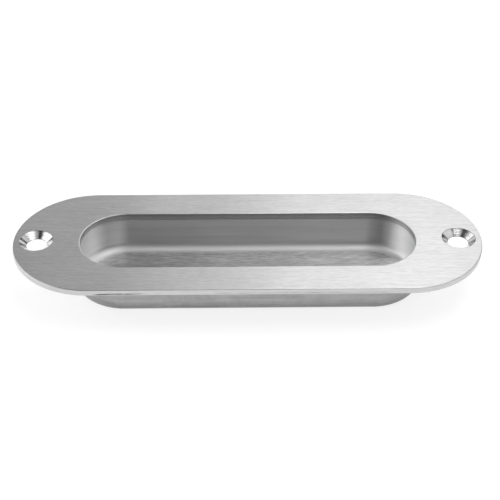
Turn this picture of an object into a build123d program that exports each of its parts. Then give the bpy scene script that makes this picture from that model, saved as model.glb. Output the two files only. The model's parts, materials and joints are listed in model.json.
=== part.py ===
"""Recessed pull handle: a stamped face plate with a drawn finger cup welded behind it.

Millimetres. The origin is midway between the two screw holes, on the back face of the plate,
which is the plane that lies on the door. +X runs along the handle and +Z out of the door.
"""
import os

from build123d import *

# ---------------------------------------------------------------- face plate
plate_length = 120.0
plate_width = 41.0
plate_sheet = 1.6
plate_edge_break = 0.2

end_land = 17.0  # plate left between each end and the finger opening
side_land = 9.15  # plate left between each long side and the finger opening
opening_edge_break = 0.15

# ---------------------------------------------------------------- screw holes
hole_inset = 5.8  # from the end of the plate to the middle of the hole
screw_bore = 5.2
screw_head = 8.6
screw_head_angle = 100.0

# ---------------------------------------------------------------- finger cup
cup_sheet = 0.8
recess_depth = 12.3  # from the front of the plate to the floor of the cup
lip_side = 1.5  # the plate overhangs the cup's long walls by this much
lip_end = 1.4  # and its round end walls by this much
floor_radius = 2.2  # inside the cup, between its walls and its floor
shoulder_radius = 0.8  # outside the cup, between its walls and its flange

flange_margin = 2.4  # from the long side of the plate to the edge of the flange
flange_screw_gap = 2.6  # from the edge of the flange to the bore of the screw hole

# ---------------------------------------------------------------- spot welds
weld_count = 3  # on each long side
weld_pitch = 27.0
weld_mark = 2.2
weld_mark_depth = 0.12

# ---------------------------------------------------------------- derived sizes
opening_length = plate_length - 2 * end_land
opening_width = plate_width - 2 * side_land
hole_pitch = plate_length - 2 * hole_inset

cavity_length = opening_length + 2 * lip_end
cavity_width = opening_width + 2 * lip_side
cup_length = cavity_length + 2 * cup_sheet
cup_width = cavity_width + 2 * cup_sheet
cup_depth = recess_depth - plate_sheet + cup_sheet  # below the back of the plate

flange_length = hole_pitch - screw_bore - 2 * flange_screw_gap
flange_width = plate_width - 2 * flange_margin
flange_inner_half = cup_width / 2 + shoulder_radius
weld_y = (flange_inner_half + flange_width / 2) / 2

os.makedirs("parts", exist_ok=True)


# ================================================================ face plate
# One blank with round ends, pierced for the fingers and for the screws. The front edges are
# softened by the brushing.
with BuildPart() as face_plate:
    with BuildSketch(Plane.XY):
        SlotOverall(plate_length, plate_width)
        SlotOverall(opening_length, opening_width, mode=Mode.SUBTRACT)
    extrude(amount=plate_sheet)

    front = face_plate.faces().sort_by(Axis.Z)[-1]
    chamfer(front.outer_wire().edges(), length=plate_edge_break)
    front = face_plate.faces().sort_by(Axis.Z)[-1]
    chamfer(front.inner_wires()[0].edges(), length=opening_edge_break)

    with Locations(Plane.XY.offset(plate_sheet)):
        with GridLocations(hole_pitch, 0, 2, 1):
            CounterSinkHole(
                radius=screw_bore / 2,
                counter_sink_radius=screw_head / 2,
                counter_sink_angle=screw_head_angle,
            )

face_plate.part.label = "face_plate"
export_step(face_plate.part, "parts/face_plate.step")


# ================================================================ finger cup
# Drawn from one sheet: a deep tray with round ends and an even wall, and round its mouth a
# flange that lies flat on the back of the plate. The tray is wider than the finger opening, so
# the plate overhangs it as a lip for the fingertips.
with BuildPart() as recess_cup:
    with BuildSketch(Plane.XY):
        SlotOverall(cup_length, cup_width)
    extrude(amount=-cup_depth)
    underside = recess_cup.faces().sort_by(Axis.Z)[0]
    fillet(underside.edges(), radius=floor_radius + cup_sheet)
    mouth = recess_cup.faces().sort_by(Axis.Z)[-1]
    offset(amount=-cup_sheet, openings=mouth)

    with BuildSketch(Plane.XY):
        SlotOverall(flange_length, flange_width)
        SlotOverall(cavity_length, cavity_width, mode=Mode.SUBTRACT)
    extrude(amount=-cup_sheet)

    # The bend at the mouth: both of its sides turn about the same centre, so the sheet keeps
    # its thickness round the bend.
    flange_top = recess_cup.faces().sort_by(Axis.Z)[-1]
    fillet(flange_top.inner_wires()[0].edges(), radius=shoulder_radius + cup_sheet)
    flange_back = recess_cup.faces().filter_by(Plane.XY).sort_by(Axis.Z)[-2]
    fillet(flange_back.inner_wires()[0].edges(), radius=shoulder_radius)

    # Shallow marks left by the spot-welding electrode on the back of the flange.
    with BuildSketch(Plane.XY.offset(-cup_sheet)):
        with GridLocations(weld_pitch, 2 * weld_y, weld_count, 2):
            Circle(weld_mark / 2)
    extrude(amount=weld_mark_depth, mode=Mode.SUBTRACT)

recess_cup.part.label = "recess_cup"
export_step(recess_cup.part, "parts/recess_cup.step")
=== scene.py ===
"""The looks of a recessed pull handle: a brushed face plate with a drawn cup welded behind it.

Everything is in metres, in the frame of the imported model: the origin is midway between the
screw holes on the back of the plate, +X runs along the handle and +Z out of the door.
"""
import json
import math

import bpy
import numpy as np
from bpy.props import FloatProperty, FloatVectorProperty, PointerProperty
from mathutils import Matrix, Vector


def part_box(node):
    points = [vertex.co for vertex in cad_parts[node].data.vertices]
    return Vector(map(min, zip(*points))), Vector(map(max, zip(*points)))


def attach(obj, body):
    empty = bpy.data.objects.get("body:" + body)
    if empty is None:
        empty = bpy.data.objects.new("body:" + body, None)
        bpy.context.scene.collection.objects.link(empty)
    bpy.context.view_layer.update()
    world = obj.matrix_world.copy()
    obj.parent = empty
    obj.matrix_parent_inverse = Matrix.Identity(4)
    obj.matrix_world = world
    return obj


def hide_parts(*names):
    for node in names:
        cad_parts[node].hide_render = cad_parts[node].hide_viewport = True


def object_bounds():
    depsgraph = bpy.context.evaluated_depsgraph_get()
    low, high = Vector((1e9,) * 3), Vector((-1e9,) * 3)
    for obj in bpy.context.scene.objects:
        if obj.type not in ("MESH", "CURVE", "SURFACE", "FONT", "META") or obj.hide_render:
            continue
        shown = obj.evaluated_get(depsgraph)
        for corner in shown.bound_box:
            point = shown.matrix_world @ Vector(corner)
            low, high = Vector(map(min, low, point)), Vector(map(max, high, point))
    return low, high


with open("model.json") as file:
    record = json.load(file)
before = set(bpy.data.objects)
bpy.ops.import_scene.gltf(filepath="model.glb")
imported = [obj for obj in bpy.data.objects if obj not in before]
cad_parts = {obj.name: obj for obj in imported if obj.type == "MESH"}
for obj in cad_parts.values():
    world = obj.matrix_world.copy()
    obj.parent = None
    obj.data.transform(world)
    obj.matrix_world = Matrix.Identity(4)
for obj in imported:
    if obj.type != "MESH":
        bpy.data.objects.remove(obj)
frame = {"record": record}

bl_info = {
    "name": "Recessed pull handle",
    "version": (1, 0, 0),
    "blender": (4, 5, 0),
    "location": "3D View > Sidebar > Pull handle",
    "description": "Builds a recessed pull handle with its finishes, and a plain studio",
    "category": "Object",
}

MM = 0.001

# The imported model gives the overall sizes. They are rounded to a tenth of a millimetre, because
# its round ends are cut into short flats.
CAD_LOW, CAD_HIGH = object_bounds()


def node_size(node):
    """Length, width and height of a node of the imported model."""
    low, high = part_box(node)
    return [round(b - a, 4) for a, b in zip(low, high)]


PLATE_SIZE = node_size("face_plate")
CUP_SIZE = node_size("recess_cup")
SCREW_HOLES = next(m for m in frame["record"]["mounts"] if m["name"] == "screw_holes")["dims"]


def linear(colour):
    """An sRGB hex colour, such as C8C9CA, as linear red, green, blue and alpha."""
    parts = [int(colour[k:k + 2], 16) / 255 for k in (0, 2, 4)]
    return [p / 12.92 if p <= 0.04045 else ((p + 0.055) / 1.055) ** 2.4 for p in parts] + [1.0]


# ================================================================ settings
def length_property(name, default, description):
    """A length that a user may change."""
    return FloatProperty(
        name=name, description=description, default=default, min=0.0, precision=5,
        unit="LENGTH", subtype="DISTANCE",
    )


def colour_property(name, default, description):
    """A colour that a user may change, given as sRGB hex."""
    return FloatVectorProperty(
        name=name, description=description, default=linear(default), size=4, min=0.0, max=1.0,
        subtype="COLOR",
    )


class PullHandlePlate(bpy.types.PropertyGroup):
    """Sizes of the face plate"""

    length: length_property("Length", PLATE_SIZE[0], "Overall length of the plate")
    width: length_property("Width", PLATE_SIZE[1], "Overall width of the plate")
    sheet: length_property("Sheet", PLATE_SIZE[2], "Thickness of the plate")
    edge_break: length_property("Edge break", 0.2 * MM, "Softening of the outer front edge")
    back_break: length_property("Back break", 0.05 * MM, "Softening of the edges at the back")
    opening_length: length_property("Opening length", 86.0 * MM, "Length of the finger opening")
    opening_width: length_property("Opening width", 22.7 * MM, "Width of the finger opening")
    opening_roll: length_property("Opening roll", 0.35 * MM, "Width of the rolled front edge")
    opening_drop: length_property("Opening drop", 0.09 * MM, "How far the punch rolled it down")
    hole_pitch: length_property(
        "Hole pitch", SCREW_HOLES["spacing_x_mm"] * MM, "From one screw hole to the other"
    )
    screw_bore: length_property(
        "Screw bore", 2 * SCREW_HOLES["hole_r_mm"] * MM, "Clear bore of a screw hole"
    )
    screw_head: length_property("Countersink", 8.6 * MM, "Countersink at the front face")
    cone_depth: length_property("Cone depth", 1.43 * MM, "Depth of the countersink")


class PullHandleCup(bpy.types.PropertyGroup):
    """Sizes of the drawn cup, with depths from the back of the plate"""

    flange_length: length_property("Flange length", CUP_SIZE[0], "Overall length of the flange")
    flange_width: length_property("Flange width", CUP_SIZE[1], "Overall width of the flange")
    depth: length_property("Depth", CUP_SIZE[2], "From the flange to the underside of the cup")
    sheet: length_property("Sheet", 0.8 * MM, "Thickness of the cup")
    cavity_length: length_property("Cavity length", 88.8 * MM, "Between the end walls")
    cavity_width: length_property("Cavity width", 25.7 * MM, "Between the long walls")
    floor_radius: length_property("Floor radius", 2.2 * MM, "Inside, between wall and floor")
    shoulder_radius: length_property("Shoulder radius", 0.8 * MM, "Outside, at the mouth")
    weld_pitch: length_property("Weld pitch", 27.0 * MM, "From one spot weld to the next")
    weld_mark: length_property("Weld mark", 2.2 * MM, "Diameter of a spot weld's mark")
    weld_mark_depth: length_property("Weld depth", 0.12 * MM, "Depth of a spot weld's mark")


class PullHandleFinish(bpy.types.PropertyGroup):
    """Colours of the bare steel"""

    face: colour_property("Brushed face", "CFCFCF", "Front of the plate")
    edge: colour_property("Cut edge", "CCCCCC", "Sheared and deburred edges of the plate")
    opening: colour_property("Opening", "A8A8A8", "Punched edge of the finger opening")
    countersink: colour_property("Countersink", "E2E2E2", "Turned cone of the screw holes")
    cup_wall: colour_property("Cup wall", "C7C7C7", "Drawn walls of the cup")
    cup_floor: colour_property("Cup floor", "E3E3E3", "Brushed floor of the cup")
    # the outside colour is partly painted shade for the shadowed floor that the cup's outside
    # mirrors
    outside: colour_property("Outside", "A6A6A6", "Sides of the cup that lie in the door")
    mill: colour_property("Mill finish", "B9BABB", "Back of the plate and the flange")


class PullHandleStudio(bpy.types.PropertyGroup):
    """Floor, light and camera"""

    floor: colour_property("Floor", "A0A0A0", "Paint of the floor, under its glow")
    level: FloatProperty(
        name="Light level", description="Strength of all the lamps together", default=1.0, min=0.0
    )
    lens: FloatProperty(
        name="Lens", description="Focal length on a 36 mm sensor", default=84.4, min=1.0,
        unit="CAMERA",
    )


# ================================================================ surfaces
MERGE_CELL = 0.0001 * MM  # points in one cell of this size become one point
MERGE_SHIFT = 0.137  # keeps the borders of the cells off the round sizes, as a share of a cell
SHARP_ANGLE = math.radians(32)  # an edge that turns more than this stays sharp


def walk_round(straight_steps, arc_steps):
    """Walks once round a shape with straight sides and half-round ends, counter-clockwise from
    the front of the right end. side is 1 and -1 at the centres of the two ends and runs evenly
    between them along the straights, and normal points outwards. The last point is the first."""
    turn = np.linspace(-np.pi / 2, np.pi / 2, arc_steps + 1)
    run = np.linspace(1, -1, straight_steps + 1)
    side = np.concatenate([np.ones(arc_steps + 1), run[1:], -np.ones(arc_steps), -run[1:]])
    angle = np.concatenate([
        turn,
        np.full(straight_steps, np.pi / 2),
        turn[1:] + np.pi,
        np.full(straight_steps, 1.5 * np.pi),
    ])
    return side, np.stack([np.cos(angle), np.sin(angle)], axis=1)


def rings(walk, length, width, height):
    """One ring for each length, width and height. The centre of each end lies half of length
    less width from the middle, and a point stands half the width from it along its normal."""
    side, normal = walk
    length, width, height = [
        np.broadcast_to(np.asarray(v, float)[:, None], (len(v), len(side)))
        for v in (length, width, height)
    ]
    x = side * (length - width) / 2 + normal[:, 0] * width / 2
    y = normal[:, 1] * width / 2
    return np.stack([x, y, height], axis=2)


def quarter(radius, steps):
    """A quarter circle, from (0, 0) along one side to (radius, radius) along the other: how far
    a point has turned in, and how far on it is."""
    turn = np.linspace(0, np.pi / 2, steps + 1)
    return radius * (1 - np.cos(turn)), radius * np.sin(turn)


def held(steps, hold):
    """Even steps from 0 to 1, and one more step at the share hold from each end, so that a flat
    face stays flat up to its rounded edge."""
    return np.sort(np.concatenate([np.linspace(0, 1, steps + 1), [hold, 1 - hold]]))


def blend_rings(first, last, share):
    """Rings that go from the first to the last."""
    share = share[:, None, None]
    return first * (1 - share) + last * share


def smooth_step(value):
    """0 below 0, 1 above 1, and an S-shaped rise between them."""
    value = np.clip(value, 0, 1)
    return value * value * (3 - 2 * value)


class Surface:
    """Grids of points that are merged into one closed mesh. Each grid has its own material
    number, and its own places on the brushing map, whose U runs along the grain."""

    def __init__(self):
        self.points, self.places, self.quads, self.slots = [], [], [], []
        self.count = 0

    def add(self, points, places, slot, keep=None):
        """Adds a grid of points, rows by columns. keep says which of its cells are kept."""
        rows, columns = points.shape[:2]
        number = np.arange(rows * columns).reshape(rows, columns) + self.count
        quads = np.stack(
            [number[:-1, :-1], number[:-1, 1:], number[1:, 1:], number[1:, :-1]], axis=2
        )
        quads = quads[np.ones(quads.shape[:2], bool) if keep is None else keep]
        self.points.append(points.reshape(-1, 3))
        self.places.append(places.reshape(-1, 2))
        self.quads.append(quads)
        self.slots.append(np.full(len(quads), slot))
        self.count += rows * columns

    def add_wall(self, points, slot):
        """Adds a wall or a bend: on the brushing map it runs round the handle, and up."""
        around = np.linalg.norm(np.diff(points, axis=1), axis=2)
        up = np.linalg.norm(np.diff(points, axis=0), axis=2)
        places = np.zeros(points.shape[:2] + (2,))
        places[:, 1:, 0] = np.cumsum(around, axis=1)
        places[1:, :, 1] = np.cumsum(up, axis=0)
        self.add(points, places, slot)

    def add_flat(self, points, slot, keep=None):
        """Adds a flat face: its place on the brushing map is its plan."""
        self.add(points, points[:, :, :2], slot, keep)

    def mesh(self, name):
        """Merges points that share a place, drops the corners that this makes double, and
        writes the mesh with its brushing map."""
        points = np.concatenate(self.points)
        places = np.concatenate(self.places)
        quads = np.concatenate(self.quads)
        slots = np.concatenate(self.slots)
        _, first, merged = np.unique(
            np.round(points / MERGE_CELL + MERGE_SHIFT).astype(np.int64), axis=0,
            return_index=True, return_inverse=True,
        )
        corner = merged.reshape(-1)[quads]
        used = corner != np.roll(corner, -1, axis=1)
        sizes = used.sum(axis=1)
        good = sizes > 2
        corner, used, quads = corner[good], used[good], quads[good]
        sizes, slots = sizes[good], slots[good]
        live, corner = np.unique(corner, return_inverse=True)
        corner = corner.reshape(-1, 4)

        mesh = bpy.data.meshes.new(name)
        mesh.vertices.add(len(live))
        mesh.vertices.foreach_set("co", points[first[live]].astype(np.float32).ravel())
        mesh.loops.add(int(sizes.sum()))
        mesh.loops.foreach_set("vertex_index", corner[used].astype(np.int32))
        mesh.polygons.add(len(sizes))
        starts = np.concatenate([[0], np.cumsum(sizes)[:-1]]).astype(np.int32)
        mesh.polygons.foreach_set("loop_start", starts)
        mesh.polygons.foreach_set("material_index", slots.astype(np.int32))
        mesh.polygons.foreach_set("use_smooth", np.ones(len(sizes), bool))
        brushing = mesh.uv_layers.new(name="brushing")
        brushing.data.foreach_set("uv", places[quads][used].astype(np.float32).ravel())
        mesh.update(calc_edges=True)
        mesh.set_sharp_from_angle(angle=SHARP_ANGLE)
        return mesh


def mesh_points(mesh):
    """The points of a mesh, as rows of x, y and z."""
    points = np.empty(len(mesh.vertices) * 3, np.float32)
    mesh.vertices.foreach_get("co", points)
    return points.reshape(-1, 3).astype(float)


def make_piece(name, mesh, materials, node):
    """Makes the object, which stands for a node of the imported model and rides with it."""
    for material in materials:
        mesh.materials.append(material)
    piece = bpy.data.objects.new(name, mesh)
    bpy.context.scene.collection.objects.link(piece)
    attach(piece, "root")
    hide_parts(node)
    return piece


# ================================================================ face plate
FACE, CUT_EDGE, OPENING_EDGE, COUNTERSINK, PLATE_BACK = range(5)
PLATE_STRAIGHT_STEPS = 80
PLATE_ARC_STEPS = 180
PLATE_FACE_STEPS = 18  # from the outer edge to the opening
BACK_EDGE_STEPS = 3
UPRIGHT_STEPS = 43
FRONT_EDGE_STEPS = 8
PATCH_HALF = 40  # steps of an end arc, on each side of its screw hole, that the patch takes
PATCH_STEPS = 12
RIM_STEPS = 3
CONE_STEPS = 8
COUNTERSINK_RIM = 0.06 * MM  # radius of the broken rim of a countersink

# The shear leaves a torn line where the punched edge stops being smooth. In millimetres: where
# it starts and stops along the front of the plate, its height above the back at its two ends,
# its width and its depth.
SHEAR_LINES = [
    (-38.5, -25.0, 0.33, 0.42, 0.30, 0.08),
    (-9.5, 35.5, 0.44, 0.46, 0.20, 0.03),
]
SHEAR_DEEPEST = 0.08
SHEAR_WANDER = 0.03  # how far a line wanders up and down
SHEAR_START, SHEAR_STOP = 2.0, 3.0  # how long a line takes to deepen and to run out
SHEAR_SIDE = -18.0  # the lines lie on the part of the edge in front of this


def edge_rows(walk, length, width, sheet, back, front, roll, grow):
    """A cut edge from the back face to the front face: a small quarter circle, an upright and
    a quarter ellipse that is front high and roll wide. grow is 1 where the metal lies inside
    the ring and -1 where outside."""
    in_back, up_back = quarter(back, BACK_EDGE_STEPS)
    in_front, up_front = quarter(front, FRONT_EDGE_STEPS)
    in_front = in_front * roll / front
    upright = np.linspace(back, sheet - front, UPRIGHT_STEPS + 1)
    inset = grow * np.concatenate([in_back[::-1], np.zeros(UPRIGHT_STEPS - 1), in_front])
    height = np.concatenate([back - up_back[::-1], upright[1:-1], sheet - front + up_front])
    return rings(walk, length - 2 * inset, width - 2 * inset, height)


def shear_tear(x, y, z):
    """How deep the shear's lines are at a point of the front edge, and how torn it is there,
    from 0 to 1. Across a line both fall off as a bell curve. Along it they run out at its ends
    and rise and fall between them as a slow wave."""
    depth, torn = np.zeros(x.shape), np.zeros(x.shape)
    x, z = x / MM, z / MM
    for start, stop, low, high, width, deepest in SHEAR_LINES:
        line = low + (high - low) * np.clip((x - start) / (stop - start), 0, 1)
        across = (z - line - SHEAR_WANDER * np.sin(x * 0.9)) / (width / 2)
        ends = smooth_step((x - start) / SHEAR_START) * smooth_step((stop - x) / SHEAR_STOP)
        wave = 0.75 + 0.25 * np.sin(x * 1.7 + np.sin(x * 0.61) * 2)
        share = np.exp(-across ** 2) * ends * wave * (y < SHEAR_SIDE * MM)
        depth = depth + deepest * MM * share
        torn = torn + share * deepest / SHEAR_DEEPEST
    return depth, torn


def score_shear_lines(points, normal):
    """Presses the shear's lines into the outer edge. Its borders with the two faces stay where
    they are, so that the plate stays closed."""
    depth, _ = shear_tear(points[:, :, 0], points[:, :, 1], points[:, :, 2])
    depth[[0, -1]] = 0
    points[:, :, :2] -= depth[:, :, None] * normal[None]


def add_torn_share(mesh):
    """Writes how torn each point of the plate is."""
    points = mesh_points(mesh)
    torn = mesh.attributes.new("torn", "FLOAT", "POINT")
    _, share = shear_tear(points[:, 0], points[:, 1], points[:, 2])
    torn.data.foreach_set("value", share.astype(np.float32))


def patch_border(band, end):
    """The border of the patch round the screw hole at one end, walked once round."""
    middle = PLATE_ARC_STEPS // 2 + (0 if end > 0 else PLATE_ARC_STEPS + PLATE_STRAIGHT_STEPS)
    first, last = middle - PATCH_HALF, middle + PATCH_HALF
    return first, last, np.concatenate([
        band[0, first:last],
        band[:-1, last],
        band[-1, last:first:-1],
        band[:0:-1, first],
        band[0, first:first + 1],
    ])


def add_pierced_face(surface, band, slot, hole_x, radius, spokes, order):
    """Adds a flat band from the outer edge to the opening. Round each screw hole a patch of it
    is left out, and straight spokes run from the border of the patch to the hole's circle.
    order is 1 for a face that looks up and -1 for one that looks down."""
    keep = np.ones((band.shape[0] - 1, band.shape[1] - 1), bool)
    for end in (1, -1):
        first, last, border = patch_border(band, end)
        keep[:, first:last] = False
        circle = np.column_stack([radius * spokes[end] + [end * hole_x, 0], border[:, 2]])
        surface.add_flat(blend_rings(border, circle, held(PATCH_STEPS, 0.02))[::order], slot)
    surface.add_flat(band[::order], slot, keep[::order])


def plate_surface(sizes):
    """The plate: outer edge, front face, edge of the opening, back face and screw holes. A
    screw hole is a quarter round at its rim, a cone and an upright bore."""
    surface = Surface()
    walk = walk_round(PLATE_STRAIGHT_STEPS, PLATE_ARC_STEPS)
    outer = edge_rows(
        walk, sizes.length, sizes.width, sizes.sheet, sizes.back_break, sizes.edge_break,
        sizes.edge_break, 1,
    )
    inner = edge_rows(
        walk, sizes.opening_length, sizes.opening_width, sizes.sheet, sizes.back_break,
        sizes.opening_drop, sizes.opening_roll, -1,
    )
    front = blend_rings(outer[-1], inner[-1], held(PLATE_FACE_STEPS, 0.01))
    back = blend_rings(outer[0], inner[0], held(PLATE_FACE_STEPS, 0.01))
    score_shear_lines(outer, walk[1])
    surface.add_wall(outer, CUT_EDGE)
    inner = inner[::-1]
    surface.add_flat(inner[:FRONT_EDGE_STEPS + 1], FACE)
    surface.add_wall(inner[FRONT_EDGE_STEPS:], OPENING_EDGE)

    hole_x, bore, head = sizes.hole_pitch / 2, sizes.screw_bore / 2, sizes.screw_head / 2
    rim_radius = head + COUNTERSINK_RIM
    spokes = {}
    for end in (1, -1):
        spoke = patch_border(front, end)[2][:, :2] - [end * hole_x, 0]
        spokes[end] = spoke / np.linalg.norm(spoke, axis=1)[:, None]
    add_pierced_face(surface, front, FACE, hole_x, rim_radius, spokes, 1)
    add_pierced_face(surface, back, PLATE_BACK, hole_x, bore, spokes, -1)

    down, over = quarter(COUNTERSINK_RIM, RIM_STEPS)
    cone = held(CONE_STEPS, 0.02)[1:]
    radius = np.concatenate([rim_radius - over, head + (bore - head) * cone, [bore, bore]])
    bore_top = sizes.sheet - sizes.cone_depth
    cone_down = COUNTERSINK_RIM + (sizes.cone_depth - COUNTERSINK_RIM) * cone
    height = np.concatenate([
        sizes.sheet - down, sizes.sheet - cone_down, [bore_top * 0.9, 0],
    ])
    for end in (1, -1):
        plan = radius[:, None, None] * spokes[end] + [end * hole_x, 0]
        wall = np.dstack([plan, np.broadcast_to(height[:, None], plan.shape[:2])])
        surface.add_wall(wall, COUNTERSINK)
    return surface


# ================================================================ recess cup
CUP_WALL, CUP_FLOOR, CUP_OUTSIDE, CUP_FLANGE = range(4)
CUP_STRAIGHT_STEPS = 240
CUP_ARC_STEPS = 96
CUP_FLOOR_STEPS = 14
CUP_WALL_STEPS = 11
BEND_STEPS = 14  # round the bend between wall and floor
SHOULDER_STEPS = 12  # round the bend at the mouth, inside
SHOULDER_BACK_STEPS = 10  # the same bend, outside
FLANGE_STEPS = 4
FLANGE_BACK_STEPS = 18  # more of them, for the marks of the spot welds
FLANGE_EDGE_STEPS = 4
WELD_MARK_RIM = 0.3 * MM  # over which the mark of a spot weld runs out


def cup_inside(surface, walk, sizes):
    """The side that the fingers touch, from the edge of the flange to the middle of the floor:
    flat flange, rounded shoulder, upright wall, floor radius and floor."""
    shoulder = sizes.shoulder_radius + sizes.sheet
    bottom = sizes.depth - sizes.sheet
    out_s, down_s = quarter(shoulder, SHOULDER_STEPS)
    in_f, down_f = quarter(sizes.floor_radius, BEND_STEPS)
    wall = np.linspace(shoulder, bottom - sizes.floor_radius, CUP_WALL_STEPS + 1)
    out = np.concatenate([shoulder - down_s, np.zeros(CUP_WALL_STEPS - 1), -in_f])
    depth = np.concatenate([out_s, wall[1:-1], bottom - sizes.floor_radius + down_f])
    bend = rings(walk, sizes.cavity_length + 2 * out, sizes.cavity_width + 2 * out, -depth)
    edge = rings(walk, [sizes.flange_length], [sizes.flange_width], [0.0])[0]
    reach = sizes.cavity_length - sizes.cavity_width
    middle = rings(walk, [reach], [0.0], [-bottom])[0]
    surface.add_flat(blend_rings(edge, bend[0], held(FLANGE_STEPS, 0.02)), CUP_FLANGE)
    surface.add_wall(bend, CUP_WALL)
    surface.add_flat(blend_rings(bend[-1], middle, held(CUP_FLOOR_STEPS, 0.01)), CUP_FLOOR)


def cup_outside(surface, walk, sizes):
    """The side that lies in the door, from the middle of the underside to the edge of the
    flange. Its bends turn about the same centres as those of the inside."""
    floor = sizes.floor_radius + sizes.sheet
    in_f, up_f = quarter(floor, BEND_STEPS)
    out_s, up_s = quarter(sizes.shoulder_radius, SHOULDER_BACK_STEPS)
    mouth = sizes.sheet + sizes.shoulder_radius
    wall = np.linspace(sizes.depth - floor, mouth, CUP_WALL_STEPS + 1)
    out = sizes.sheet + np.concatenate([-in_f[::-1], np.zeros(CUP_WALL_STEPS - 1), out_s])
    depth = np.concatenate([sizes.depth - floor + up_f[::-1], wall[1:-1], mouth - up_s])
    bend = rings(walk, sizes.cavity_length + 2 * out, sizes.cavity_width + 2 * out, -depth)
    reach = sizes.cavity_length - sizes.cavity_width
    middle = rings(walk, [reach], [0.0], [-sizes.depth])[0]
    edge = rings(walk, [sizes.flange_length], [sizes.flange_width], [-sizes.sheet])[0]
    flange = blend_rings(bend[-1], edge, held(FLANGE_BACK_STEPS, 0.01))
    press_weld_marks(flange, sizes)
    rise = np.linspace(-sizes.sheet, 0, FLANGE_EDGE_STEPS + 1)
    level = np.ones(len(rise))
    rim = rings(walk, sizes.flange_length * level, sizes.flange_width * level, rise)
    surface.add_flat(blend_rings(middle, bend[0], held(CUP_FLOOR_STEPS, 0.01)), CUP_OUTSIDE)
    surface.add_wall(bend, CUP_OUTSIDE)
    surface.add_flat(flange, CUP_FLANGE)
    surface.add_wall(rim, CUP_FLANGE)


def weld_places(sizes):
    """The middle of each spot weld: halfway between the bend and the edge of the flange."""
    bend = sizes.cavity_width / 2 + sizes.sheet + sizes.shoulder_radius
    y = (bend + sizes.flange_width / 2) / 2
    return [(x, y * side) for x in (-sizes.weld_pitch, 0, sizes.weld_pitch) for side in (-1, 1)]


def press_weld_marks(points, sizes):
    """Each spot weld presses a shallow round mark into the flange: its depth is even over the
    middle and runs out as an S at its rim."""
    for x, y in weld_places(sizes):
        away = np.hypot(points[:, :, 0] - x, points[:, :, 1] - y)
        inside = smooth_step((sizes.weld_mark / 2 - away) / WELD_MARK_RIM)
        points[:, :, 2] += sizes.weld_mark_depth * inside


def add_heat_tint(mesh, sizes):
    """Writes how far each point of the cup is from the nearest spot weld, in marks' radii."""
    points = mesh_points(mesh)
    away = np.min([
        np.hypot(points[:, 0] - x, points[:, 1] - y) for x, y in weld_places(sizes)
    ], axis=0)
    heat = mesh.attributes.new("weld_distance", "FLOAT", "POINT")
    heat.data.foreach_set("value", (away / (sizes.weld_mark / 2)).astype(np.float32))


def cup_surface(sizes):
    """The cup: one sheet with an inside and an outside."""
    surface = Surface()
    walk = walk_round(CUP_STRAIGHT_STEPS, CUP_ARC_STEPS)
    cup_inside(surface, walk, sizes)
    cup_outside(surface, walk, sizes)
    return surface


# ================================================================ materials
PLAN, ROUND, MAP = range(3)  # what a pattern follows

# Heights between which a finish, a painted highlight or a painted shade changes, in millimetres
# above the back of the plate.
# the bend of the cup's wall: where its painted highlight and its roughness change
CUP_BEND = (-10.3, -8.8)
# painted shade on the outside of the cup, round its bottom radius and at its underside
OUTER_BEND = (-10.1, -7.5)
UNDERSIDE_EDGE = (-11.5, -10.8)
# the painted shade on the land of a screw bore, and the painted dark reflection at the rim of its
# countersink
BORE_TOP = (0.12, 0.26)
CONE_RIM = (1.42, 1.54)
OPENING_RISE = (0.2, 1.4)
# Distances from the middle between which a painted highlight comes in, in millimetres along the
# handle.
CUP_ENDS = (37, 42)
OPENING_ENDS = (38, 42)

# The tints that heat leaves, by the distance from a spot weld in radii of its mark.
HEAT_REACH = 2.6
HEAT_TINT = [
    (0.0, "E6E4E0"), (0.85, "DAD6CF"), (1.05, "8F98AE"), (1.3, "A98F86"), (1.65, "D9BE93"),
    (2.1, "F3E8D2"), (HEAT_REACH, "FFFFFF"),
]


def add_node(tree, kind, inputs, **settings):
    """Adds a node. inputs holds a value or another node's socket for each of its sockets."""
    node = tree.nodes.new(kind)
    for name, value in settings.items():
        setattr(node, name, value)
    for socket, value in inputs.items():
        if isinstance(value, bpy.types.NodeSocket):
            tree.links.new(value, node.inputs[socket])
        else:
            node.inputs[socket].default_value = value
    return node


def brushing_pattern(tree, along, across, where, wave=0.0, detail=2.0):
    """Streaks or clouds, from 0 to 1 about a half: noise that is long along the grain and short
    across it, both in millimetres. where is PLAN for a flat face whose grain is lengthwise,
    ROUND for a wall that the grain runs round, and MAP for the piece's own brushing map."""
    if where == MAP:
        place = add_node(tree, "ShaderNodeUVMap", {}, uv_map="brushing").outputs["UV"]
    else:
        place = add_node(tree, "ShaderNodeTexCoord", {}).outputs["Object"]
    long, short = 1 / (along * MM), 1 / (across * MM)
    scale = (long, long, short) if where == ROUND else (long, short, short)
    mapped = add_node(tree, "ShaderNodeMapping", {"Vector": place, "Scale": scale})
    noise = add_node(tree, "ShaderNodeTexNoise", {
        "Vector": mapped.outputs["Vector"], "Scale": 1.0, "Detail": detail, "Roughness": 0.55,
        "Distortion": wave,
    }, noise_dimensions="3D")
    return noise.outputs["Fac"]


def departures(tree, middle, patterns):
    """middle plus, for each pattern, how far it is from its level, times its weight. Noise has
    its level at a half."""
    total = middle
    for pattern, weight, level in patterns:
        step = add_node(tree, "ShaderNodeMath", {
            0: pattern, 1: weight, 2: -weight * level,
        }, operation="MULTIPLY_ADD")
        total = add_node(tree, "ShaderNodeMath", {
            0: step.outputs[0], 1: total,
        }, operation="ADD").outputs[0]
    return total


def rise_between(tree, value, limits):
    """0 below the first limit and 1 above the second, both in millimetres, with an S between."""
    share = add_node(tree, "ShaderNodeMapRange", {
        "Value": value, "From Min": limits[0] * MM, "From Max": limits[1] * MM,
    }, interpolation_type="SMOOTHSTEP")
    return share.outputs["Result"]


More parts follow.
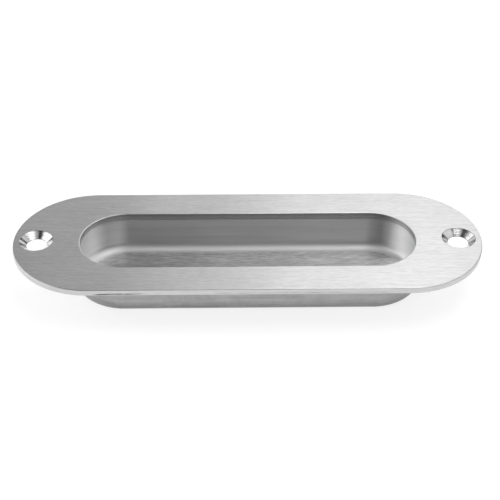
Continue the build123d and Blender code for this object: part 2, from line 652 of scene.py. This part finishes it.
def height_share(tree, limits):
    """0 below the one height and 1 above the other."""
    place = add_node(tree, "ShaderNodeTexCoord", {}).outputs["Object"]
    part = add_node(tree, "ShaderNodeSeparateXYZ", {"Vector": place})
    return rise_between(tree, part.outputs["Z"], limits)


def end_share(tree, limits):
    """0 along the middle of the handle and 1 at its two ends."""
    place = add_node(tree, "ShaderNodeTexCoord", {}).outputs["Object"]
    part = add_node(tree, "ShaderNodeSeparateXYZ", {"Vector": place})
    away = add_node(tree, "ShaderNodeMath", {0: part.outputs["X"]}, operation="ABSOLUTE")
    return rise_between(tree, away.outputs[0], limits)


def point_value(tree, name):
    """A value that was written at each point of the piece."""
    return add_node(
        tree, "ShaderNodeAttribute", {}, attribute_type="GEOMETRY", attribute_name=name
    ).outputs["Fac"]


def bare_steel(name, anisotropy):
    """A metal whose highlight is drawn out across the grain of its brushing map: a quarter of
    a turn from U."""
    material = bpy.data.materials.new(name)
    material.use_nodes = True
    tree = material.node_tree
    shader = tree.nodes["Principled BSDF"]
    shader.inputs["Metallic"].default_value = 1.0
    shader.inputs["Anisotropic"].default_value = anisotropy
    shader.inputs["Anisotropic Rotation"].default_value = 0.25
    grain = add_node(
        tree, "ShaderNodeTangent", {}, direction_type="UV_MAP", uv_map="brushing"
    )
    tree.links.new(grain.outputs["Tangent"], shader.inputs["Tangent"])
    return material, tree, shader


def shade_steel(tree, shader, colour, shades):
    """Lightens and darkens the steel's colour, and gives the colour that comes out."""
    tint = add_node(tree, "ShaderNodeVectorMath", {
        0: tuple(colour[:3]), "Scale": departures(tree, 1.0, shades),
    }, operation="SCALE").outputs["Vector"]
    tree.links.new(tint, shader.inputs["Base Color"])
    return tint


def roughen_steel(tree, shader, roughness, changes):
    """Makes the steel duller and brighter round its roughness."""
    tree.links.new(departures(tree, roughness, changes), shader.inputs["Roughness"])


def score_steel(tree, shader, scratches, relief):
    """Raises and lowers the surface by relief, in millimetres."""
    bump = add_node(tree, "ShaderNodeBump", {
        "Height": scratches, "Distance": relief * MM, "Strength": 1.0,
    })
    tree.links.new(bump.outputs["Normal"], shader.inputs["Normal"])


def brushed_stainless_face(colour):
    """Stainless sheet brushed lengthwise with a fine belt. The eye gets a silky sheen that
    changes slowly along the handle, under hair-fine streaks 2 to 20 mm long. The real scratches
    are about 0.05 mm wide. They are drawn 0.4 mm wide, because finer ones would not show."""
    material, tree, shader = bare_steel("brushed_stainless_face", 0.85)
    hairs = brushing_pattern(tree, 1.8, 0.3, PLAN)
    strokes = brushing_pattern(tree, 8, 0.36, PLAN)
    clouds = brushing_pattern(tree, 30, 6, PLAN)
    shade_steel(tree, shader, colour, [
        (hairs, 0.42, 0.5), (strokes, 0.36, 0.5), (clouds, 0.07, 0.5),
    ])
    roughen_steel(tree, shader, 0.34, [(hairs, 0.06, 0.5)])
    score_steel(tree, shader, hairs, 0.0015)
    return material


def sheared_stainless_edge(colour):
    """The rim of the blank, sheared and lightly linished. The eye gets a paler, duller band
    with short mottled strokes about 0.3 mm wide, and a dull dark line where the cut tore."""
    material, tree, shader = bare_steel("sheared_stainless_edge", 0.5)
    strokes = brushing_pattern(tree, 3.5, 0.35, ROUND, 0.3)
    patches = brushing_pattern(tree, 5, 1.2, ROUND)
    torn = point_value(tree, "torn")
    shade_steel(tree, shader, colour, [
        (strokes, 0.3, 0.5), (patches, 0.2, 0.5), (torn, -0.8, 0.0),
    ])
    roughen_steel(tree, shader, 0.34, [(strokes, 0.1, 0.5), (torn, 0.3, 0.0)])
    return material


def punched_stainless_opening(colour):
    """The edge of the finger opening, as the punch left it. The eye gets a dark, dull band,
    a little paler towards the back, with short upright scores, and a painted highlight at
    the round ends."""
    material, tree, shader = bare_steel("punched_stainless_opening", 0.2)
    scores = brushing_pattern(tree, 0.5, 1.5, ROUND)
    patches = brushing_pattern(tree, 8, 0.8, ROUND)
    rise = height_share(tree, OPENING_RISE)
    ends = end_share(tree, OPENING_ENDS)
    # painted highlight: paler at the round ends
    shade_steel(tree, shader, colour, [
        (scores, 0.2, 0.5), (patches, 0.2, 0.5), (rise, -0.25, 0.0), (ends, 0.6, 0.0),
    ])
    roughen_steel(tree, shader, 0.4, [(patches, 0.1, 0.5)])
    return material


def turned_stainless_countersink(colour):
    """A cone cut by a countersinking bit. The eye gets near-mirror metal with fine rings and
    short dull marks where the bit chattered, a dark line of painted reflection at the rim, and
    below the cone the land of the punched bore, darkened with painted shade. The rings are about
    0.05 mm apart in the real one, and are drawn 0.3 mm apart, because finer ones would not show."""
    material, tree, shader = bare_steel("turned_stainless_countersink", 0.6)
    rings_cut = brushing_pattern(tree, 9, 0.3, MAP)
    chatter = brushing_pattern(tree, 0.9, 0.8, MAP)
    above_land = height_share(tree, BORE_TOP)
    rim = height_share(tree, CONE_RIM)
    # painted shade darkens the land below the cone, and a painted dark reflection lines the rim
    shade_steel(tree, shader, colour, [
        (rings_cut, 0.4, 0.5), (chatter, 0.35, 0.5), (above_land, 0.5, 1.0), (rim, -0.35, 0.0),
    ])
    roughen_steel(tree, shader, 0.2, [(chatter, 0.2, 0.5)])
    score_steel(tree, shader, rings_cut, 0.02)
    return material


def rolled_stainless(name, colour):
    """Cold-rolled mill finish, as the sheet is bought. The eye gets an even, dull grey with
    faint rolling lines along the sheet."""
    material, tree, shader = bare_steel(name, 0.2)
    lines = brushing_pattern(tree, 30, 0.7, PLAN)
    clouds = brushing_pattern(tree, 12, 5, PLAN)
    speckle = brushing_pattern(tree, 0.8, 0.6, PLAN)
    tint = shade_steel(tree, shader, colour, [
        (lines, 0.1, 0.5), (clouds, 0.12, 0.5), (speckle, 0.1, 0.5),
    ])
    roughen_steel(tree, shader, 0.38, [(clouds, 0.1, 0.5)])
    return material, tree, shader, tint


def welded_stainless_flange(colour):
    """The mill finish again, with the straw, brown and blue rings that the heat of each spot
    weld leaves round its mark."""
    material, tree, shader, tint = rolled_stainless("welded_stainless_flange", colour)
    share = add_node(tree, "ShaderNodeMath", {
        0: point_value(tree, "weld_distance"), 1: 1 / HEAT_REACH,
    }, operation="MULTIPLY")
    ramp = add_node(tree, "ShaderNodeValToRGB", {"Fac": share.outputs[0]})
    stops = ramp.color_ramp.elements
    for place, heat in HEAT_TINT[1:-1]:
        stops.new(place / HEAT_REACH)
    for stop, (place, heat) in zip(stops, HEAT_TINT):
        stop.position = place / HEAT_REACH
        stop.color = linear(heat)
    both = add_node(tree, "ShaderNodeVectorMath", {
        0: tint, 1: ramp.outputs["Color"],
    }, operation="MULTIPLY")
    tree.links.new(both.outputs["Vector"], shader.inputs["Base Color"])
    return material


def drawn_stainless_wall(colour):
    """The inside of the cup, stretched smooth over the punch. The eye gets a soft satin gloss
    with faint wide bands that run round the wall. The bend at the floor is rougher and has a
    painted highlight in its colour, and the round ends have a painted highlight too."""
    material, tree, shader = bare_steel("drawn_stainless_wall", 0.2)
    bands = brushing_pattern(tree, 34, 1.5, ROUND)
    haze = brushing_pattern(tree, 9, 5, ROUND)
    above_bend = height_share(tree, CUP_BEND)
    bend = departures(tree, 0.0, [(above_bend, -0.8, 1.0)])
    # painted highlight: the colour is paler in the bend at the floor and at the round ends
    painted_highlight = add_node(tree, "ShaderNodeMath", {
        0: bend, 1: end_share(tree, CUP_ENDS),
    }, operation="MAXIMUM").outputs[0]
    shade_steel(tree, shader, colour, [
        (bands, 0.36, 0.5), (haze, 0.12, 0.5), (painted_highlight, 0.65, 0.0),
    ])
    roughen_steel(tree, shader, 0.38, [(haze, 0.08, 0.5), (above_bend, -0.17, 1.0)])
    return material


def brushed_stainless_floor(colour):
    """The floor of the cup, brushed lengthwise by hand after drawing. The eye gets short
    streaks that waver, 2 or 3 mm long, coarser and of more contrast than those of the plate."""
    material, tree, shader = bare_steel("brushed_stainless_floor", 0.75)
    strokes = brushing_pattern(tree, 2.6, 0.22, PLAN, 0.5)
    patches = brushing_pattern(tree, 9, 0.5, PLAN, 0.5)
    shade_steel(tree, shader, colour, [(strokes, 1.5, 0.5), (patches, 0.4, 0.5)])
    roughen_steel(tree, shader, 0.4, [(strokes, 0.08, 0.5)])
    score_steel(tree, shader, strokes, 0.004)
    return material


def drawn_stainless_outside(colour):
    """The outside of the cup, as the die left it. The eye gets darker, duller metal with long
    draw streaks and cloudy blotches. Its dark colour is partly the drawn finish and partly
    painted shade for the shadowed floor that it mirrors, and painted shade darkens it further
    round the bottom radius and more at the underside."""
    material, tree, shader = bare_steel("drawn_stainless_outside", 0.5)
    streaks = brushing_pattern(tree, 14, 0.7, ROUND, 0.2)
    blotches = brushing_pattern(tree, 11, 3.4, ROUND, 0.6)
    mottle = brushing_pattern(tree, 1.0, 1.2, ROUND)
    above_bend = height_share(tree, OUTER_BEND)
    above_floor = height_share(tree, UNDERSIDE_EDGE)
    # painted shade: darker round the bottom radius and darker still at the underside
    shade_steel(tree, shader, colour, [
        (streaks, 0.4, 0.5), (blotches, 0.55, 0.5), (mottle, 0.2, 0.5),
        (above_bend, 0.34, 1.0), (above_floor, 0.4, 1.0),
    ])
    roughen_steel(tree, shader, 0.34, [(blotches, 0.1, 0.5)])
    return material


# ================================================================ studio
SOFT_BOXES = [
    # name, azimuth from behind the handle towards its right end and elevation in degrees, width
    # and height in metres, and brightness: white paper next to a box of brightness 1 is white
    ("overhead_right", 90, 77, 0.58, 0.45, 3.11),
    ("high_right", 90, 62, 0.31, 0.38, 0.56),
    ("high_front", 180, 62, 0.49, 0.38, 0.45),
    ("back_right", 26, 40, 0.29, 0.66, 1.25),
    ("back_mid_right", 10.5, 40, 0.17, 0.66, 1.09),
    ("back_middle", 0, 40, 0.17, 0.66, 0.83),
    ("back_mid_left", -10.5, 30, 0.17, 0.34, 0.80),
    ("back_mid_left_top", -10.5, 50, 0.17, 0.29, 0.16),
    ("back_left", -31.5, 40, 0.44, 0.66, 0.49),
    ("left_wide", -92, 35, 1.33, 0.52, 1.43),
    ("left_key", -92, 35, 0.34, 0.48, 0.70),
    ("left_strip", -75, 20, 0.50, 0.25, 0.55),
    ("right_wide", 95, 35, 1.15, 0.52, 0.80),
    ("low_left", -95, 11, 0.82, 0.25, 1.51),
    ("low_right", 95, 11, 0.82, 0.25, 0.72),
    ("low_back_left", -36, 16, 0.42, 0.25, 0.60),
    ("low_back_right", 36, 16, 0.42, 0.25, 0.52),
    ("front_strip", 165, 36, 0.20, 0.42, 0.87),
    ("front_right", 148, 36, 0.34, 0.48, 0.53),
]
BOX_DISTANCE = 0.9  # metres from the middle of the handle
FLOOR_REACH = 4.0  # metres each way
FLOOR_GLOW = 0.8  # 1 is white by itself, and the lamps add the rest
SURROUND_STRENGTH = 0.03

# The camera looks at a point on the front of the plate. Its angles are in degrees.
CAMERA_TURN = -1.277
CAMERA_TILT = 90 - 37.028
CAMERA_ROLL = 0.379
CAMERA_AIM = (0.42 * MM, -4.66 * MM, PLATE_SIZE[2])
CAMERA_DISTANCE = 296.9 * MM
CAMERA_NEAREST = 0.01  # metres


def make_soft_box(name, azimuth, elevation, width, height, brightness):
    """A rectangular lamp that faces the handle. Its power is brightness times area times pi."""
    light = bpy.data.lights.new(name, "AREA")
    light.shape = "RECTANGLE"
    light.size, light.size_y = width, height
    light.energy = brightness * math.pi * width * height
    box = bpy.data.objects.new(name, light)
    turn, lift = math.radians(azimuth), math.radians(elevation)
    box.location = BOX_DISTANCE * Vector(
        (math.sin(turn) * math.cos(lift), math.cos(turn) * math.cos(lift), math.sin(lift))
    )
    box.rotation_euler = box.location.to_track_quat("Z", "Y").to_euler()
    bpy.context.scene.collection.objects.link(box)


def make_camera(lens):
    """Looks down on the front of the plate from a little to the left."""
    camera = bpy.data.objects.new("studio_camera", bpy.data.cameras.new("studio_camera"))
    camera.data.lens = lens
    camera.data.clip_start = CAMERA_NEAREST
    turn, tilt, roll = (math.radians(a) for a in (CAMERA_TURN, CAMERA_TILT, CAMERA_ROLL))
    spin = (
        Matrix.Rotation(turn, 4, "Z") @ Matrix.Rotation(tilt, 4, "X")
        @ Matrix.Rotation(roll, 4, "Z")
    )
    back_off = Matrix.Translation((0, 0, CAMERA_DISTANCE))
    camera.matrix_world = Matrix.Translation(CAMERA_AIM) @ spin @ back_off
    bpy.context.scene.collection.objects.link(camera)
    bpy.context.scene.camera = camera


def make_floor(colour, height):
    """A plain floor under the cup. It glows for the camera and in mirrors and glass, so that it
    looks white, and lights nothing else."""
    mesh = bpy.data.meshes.new("studio_floor")
    corners = [(-1, -1), (1, -1), (1, 1), (-1, 1)]
    mesh.from_pydata(
        [(x * FLOOR_REACH, y * FLOOR_REACH, height) for x, y in corners], [], [(0, 1, 2, 3)]
    )
    material = bpy.data.materials.new("painted_floor")
    material.use_nodes = True
    tree = material.node_tree
    tree.nodes.clear()
    rays = add_node(tree, "ShaderNodeLightPath", {}).outputs
    seen = add_node(tree, "ShaderNodeMath", {
        0: rays["Is Camera Ray"], 1: rays["Is Glossy Ray"],
    }, operation="MAXIMUM")
    seen = add_node(tree, "ShaderNodeMath", {
        0: seen.outputs[0], 1: rays["Is Transmission Ray"],
    }, operation="MAXIMUM")
    glow = add_node(tree, "ShaderNodeMath", {
        0: seen.outputs[0], 1: FLOOR_GLOW,
    }, operation="MULTIPLY")
    paint = add_node(tree, "ShaderNodeBsdfDiffuse", {"Color": tuple(colour)})
    shine = add_node(tree, "ShaderNodeEmission", {"Strength": glow.outputs[0]})
    both = add_node(tree, "ShaderNodeAddShader", {0: paint.outputs[0], 1: shine.outputs[0]})
    add_node(tree, "ShaderNodeOutputMaterial", {"Surface": both.outputs[0]})
    mesh.materials.append(material)
    floor = bpy.data.objects.new("studio_floor", mesh)
    bpy.context.scene.collection.objects.link(floor)


def make_world():
    """An even, faint surround."""
    world = bpy.data.worlds.new("studio_world")
    world.use_nodes = True
    background = world.node_tree.nodes["Background"]
    background.inputs["Color"].default_value = (1, 1, 1, 1)
    background.inputs["Strength"].default_value = SURROUND_STRENGTH
    bpy.context.scene.world = world


# ================================================================ operators
class PULLHANDLE_OT_face_plate(bpy.types.Operator):
    """Make the brushed face plate with its opening and countersunk screw holes"""

    bl_idname = "pull_handle.face_plate"
    bl_label = "Face plate"

    def execute(self, context):
        finish = context.scene.pull_handle_finish
        materials = [
            brushed_stainless_face(finish.face),
            sheared_stainless_edge(finish.edge),
            punched_stainless_opening(finish.opening),
            turned_stainless_countersink(finish.countersink),
            rolled_stainless("rolled_stainless_back", finish.mill)[0],
        ]
        mesh = plate_surface(context.scene.pull_handle_plate).mesh("face_plate_brushed")
        add_torn_share(mesh)
        make_piece("face_plate_brushed", mesh, materials, "face_plate")
        return {"FINISHED"}


class PULLHANDLE_OT_recess_cup(bpy.types.Operator):
    """Make the drawn cup with its flange and spot-weld marks"""

    bl_idname = "pull_handle.recess_cup"
    bl_label = "Recess cup"

    def execute(self, context):
        sizes, finish = context.scene.pull_handle_cup, context.scene.pull_handle_finish
        materials = [
            drawn_stainless_wall(finish.cup_wall),
            brushed_stainless_floor(finish.cup_floor),
            drawn_stainless_outside(finish.outside),
            welded_stainless_flange(finish.mill),
        ]
        mesh = cup_surface(sizes).mesh("recess_cup_drawn")
        add_heat_tint(mesh, sizes)
        make_piece("recess_cup_drawn", mesh, materials, "recess_cup")
        return {"FINISHED"}


class PULLHANDLE_OT_studio(bpy.types.Operator):
    """Make the floor, the soft boxes, the surround and the camera"""

    bl_idname = "pull_handle.studio"
    bl_label = "Studio"

    def execute(self, context):
        studio = context.scene.pull_handle_studio
        context.scene.view_settings.view_transform = "Standard"
        make_camera(studio.lens)
        make_floor(studio.floor, CAD_LOW.z)
        make_world()
        for name, azimuth, elevation, width, height, brightness in SOFT_BOXES:
            make_soft_box(name, azimuth, elevation, width, height, brightness * studio.level)
        return {"FINISHED"}


class PULLHANDLE_PT_sidebar(bpy.types.Panel):
    """Lists the pieces of the pull handle with their settings"""

    bl_label = "Pull handle"
    bl_idname = "PULLHANDLE_PT_sidebar"
    bl_space_type = "VIEW_3D"
    bl_region_type = "UI"
    bl_category = "Pull handle"

    def draw(self, context):
        for settings, operator in PANEL_ROWS:
            box = self.layout.box()
            group = getattr(context.scene, settings)
            for name in type(group).__annotations__:
                box.prop(group, name)
            if operator:
                box.operator(operator)


PANEL_ROWS = [
    ("pull_handle_finish", None),
    ("pull_handle_plate", PULLHANDLE_OT_face_plate.bl_idname),
    ("pull_handle_cup", PULLHANDLE_OT_recess_cup.bl_idname),
    ("pull_handle_studio", PULLHANDLE_OT_studio.bl_idname),
]

CLASSES = [
    PullHandlePlate, PullHandleCup, PullHandleFinish, PullHandleStudio,
    PULLHANDLE_OT_face_plate, PULLHANDLE_OT_recess_cup, PULLHANDLE_OT_studio,
    PULLHANDLE_PT_sidebar,
]

SETTINGS = {
    "pull_handle_plate": PullHandlePlate,
    "pull_handle_cup": PullHandleCup,
    "pull_handle_finish": PullHandleFinish,
    "pull_handle_studio": PullHandleStudio,
}


def register():
    """Registers the classes and puts their settings on the scene."""
    for item in CLASSES:
        bpy.utils.register_class(item)
    for name, group in SETTINGS.items():
        setattr(bpy.types.Scene, name, PointerProperty(type=group))


def unregister():
    """Undoes register."""
    for name in SETTINGS:
        delattr(bpy.types.Scene, name)
    for item in reversed(CLASSES):
        bpy.utils.unregister_class(item)


def main():
    """Makes everything in order."""
    register()
    bpy.ops.pull_handle.face_plate()
    bpy.ops.pull_handle.recess_cup()
    bpy.ops.pull_handle.studio()


if __name__ == "__main__":
    main()
